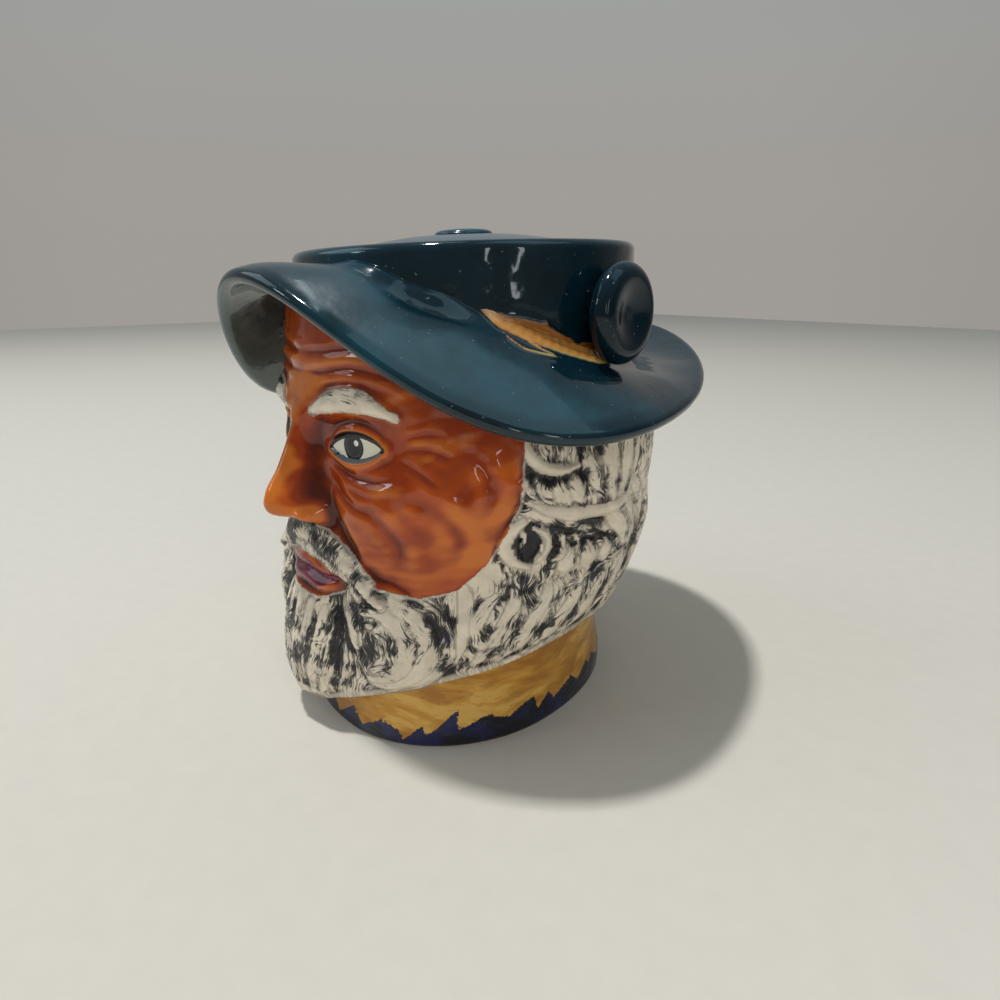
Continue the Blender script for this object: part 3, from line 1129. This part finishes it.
studio = {
    "floorSize": 6.0,
    "lens": 23.76,
    "distance": 0.318,  # of the camera from the head's axis
    "cameraHeight": 0.188,
    "cameraSide": 52.6,  # round from the face towards the figure's left
    "turnRight": 3.2,
    "lookDown": 18.5,
    "lampAim": (0, 0, 0.15),
    # place, size and power of each soft lamp, and its colour: a fill isn't mirrored, a panel is only mirrored
    "lamps": {
        "side_fill": ((1.3, -0.75, 0.75), (1.2, 0.9), 5.5, (1.0, 0.96, 0.9)),
        "ceiling_lamp": ((-0.48, -0.441, 3.0), (0.17, 0.17), 62.0, (0.96, 0.97, 0.98)),
        "ceiling_panel": ((0.95, 0.55, 2.3), (1.3, 1.8), 6.5, (0.5, 0.84, 1.0)),
        "strip_panel": ((-0.6, 0.18, 2.4), (0.06, 1.0), 0.8, (0.7, 0.95, 1.0)),
        "side_window": ((-0.8, -1.9, 1.1), (0.3, 0.4), 2.6, (0.72, 0.86, 1.0)),
        "soft_front": ((-1.3, -1.2, 1.5), (1.2, 1.2), 6.0, (0.8, 0.92, 1.0)),
        "tall_window": ((1.376, -0.6, 0.45), (0.06, 0.42), 0.5, (0.9, 0.95, 1.0)),
        "far_window": ((1.49, -0.157, 0.42), (0.07, 0.5), 0.65, (0.88, 0.94, 1.0)),
    },
}


def makeFloor():  # a wide pale table top at height 0
    half = studio["floorSize"] / 2
    mesh = bpy.data.meshes.new("floor")
    corners = [(-half, -half, 0), (half, -half, 0), (half, half, 0), (-half, half, 0)]
    mesh.from_pydata(corners, [], [(0, 1, 2, 3)])
    mesh.materials.append(glaze("pale_floor", floorPaint))
    floor = bpy.data.objects.new("floor", mesh)
    bpy.context.scene.collection.objects.link(floor)


def aimed(item, place, look):  # the item at a place, turned so that it looks along a direction
    item.location = place
    item.rotation_euler = mathutils.Vector(look).to_track_quat("-Z", "Y").to_euler()
    bpy.context.scene.collection.objects.link(item)
    return item


def makeLamp(name, place, size, power, colour):  # a soft oblong lamp that looks at the middle of the piece
    lamp = bpy.data.lights.new(name, "AREA")
    lamp.shape = "RECTANGLE"
    lamp.size, lamp.size_y = size
    lamp.energy = power
    lamp.color = colour
    light = aimed(bpy.data.objects.new(name, lamp), place, np.array(studio["lampAim"]) - place)
    light.visible_camera = False
    light.visible_glossy = not name.endswith("fill")
    light.visible_diffuse = not name.endswith("panel")


def makeCamera():  # at its side and distance from the axis, looking past the axis and down
    side = math.radians(studio["cameraSide"])
    aim = side - math.radians(studio["turnRight"])
    down = math.radians(studio["lookDown"])
    lens = bpy.data.cameras.new("camera")
    lens.lens = studio["lens"]
    lens.clip_start = 0.01
    reach = studio["distance"]
    place = (math.sin(side) * reach, axisBack * unit - math.cos(side) * reach, studio["cameraHeight"])
    look = (-math.sin(aim) * math.cos(down), math.cos(aim) * math.cos(down), -math.sin(down))
    bpy.context.scene.camera = aimed(bpy.data.objects.new("camera", lens), place, look)


def makeRoom():  # a soft room: pale behind the piece and overhead, dimmer on the side that it faces
    world = bpy.data.worlds.new("soft_room")
    world.use_nodes = True
    paint = Paint(world.node_tree)
    x, y, z = paint.parts(paint.place("Generated"))
    side = math.radians(studio["cameraSide"])
    behind = y * math.cos(side) - x * math.sin(side)
    right = x * 0.57 + y * 0.82
    pale = behind.above(0.35, 1.1) * 0.2 + z.above(0.5, 0.9) * 0.08 + 0.15 - right.above(0.85, 0.3) * 0.12
    background = world.node_tree.nodes["Background"]
    tint = paint.mix((1, 0.94, 0.87, 1), (0.83, 0.95, 1, 1), z.above(0.35, 0.5))
    paint.feed(background.inputs["Color"], tint)
    paint.feed(background.inputs["Strength"], pale)
    bpy.context.scene.world = world


makeFloor()
makeRoom()
makeCamera()
for name, lamp in studio["lamps"].items():
    makeLamp(name, *lamp)
bpy.context.scene.view_settings.view_transform = "Standard"
print("studio ready")
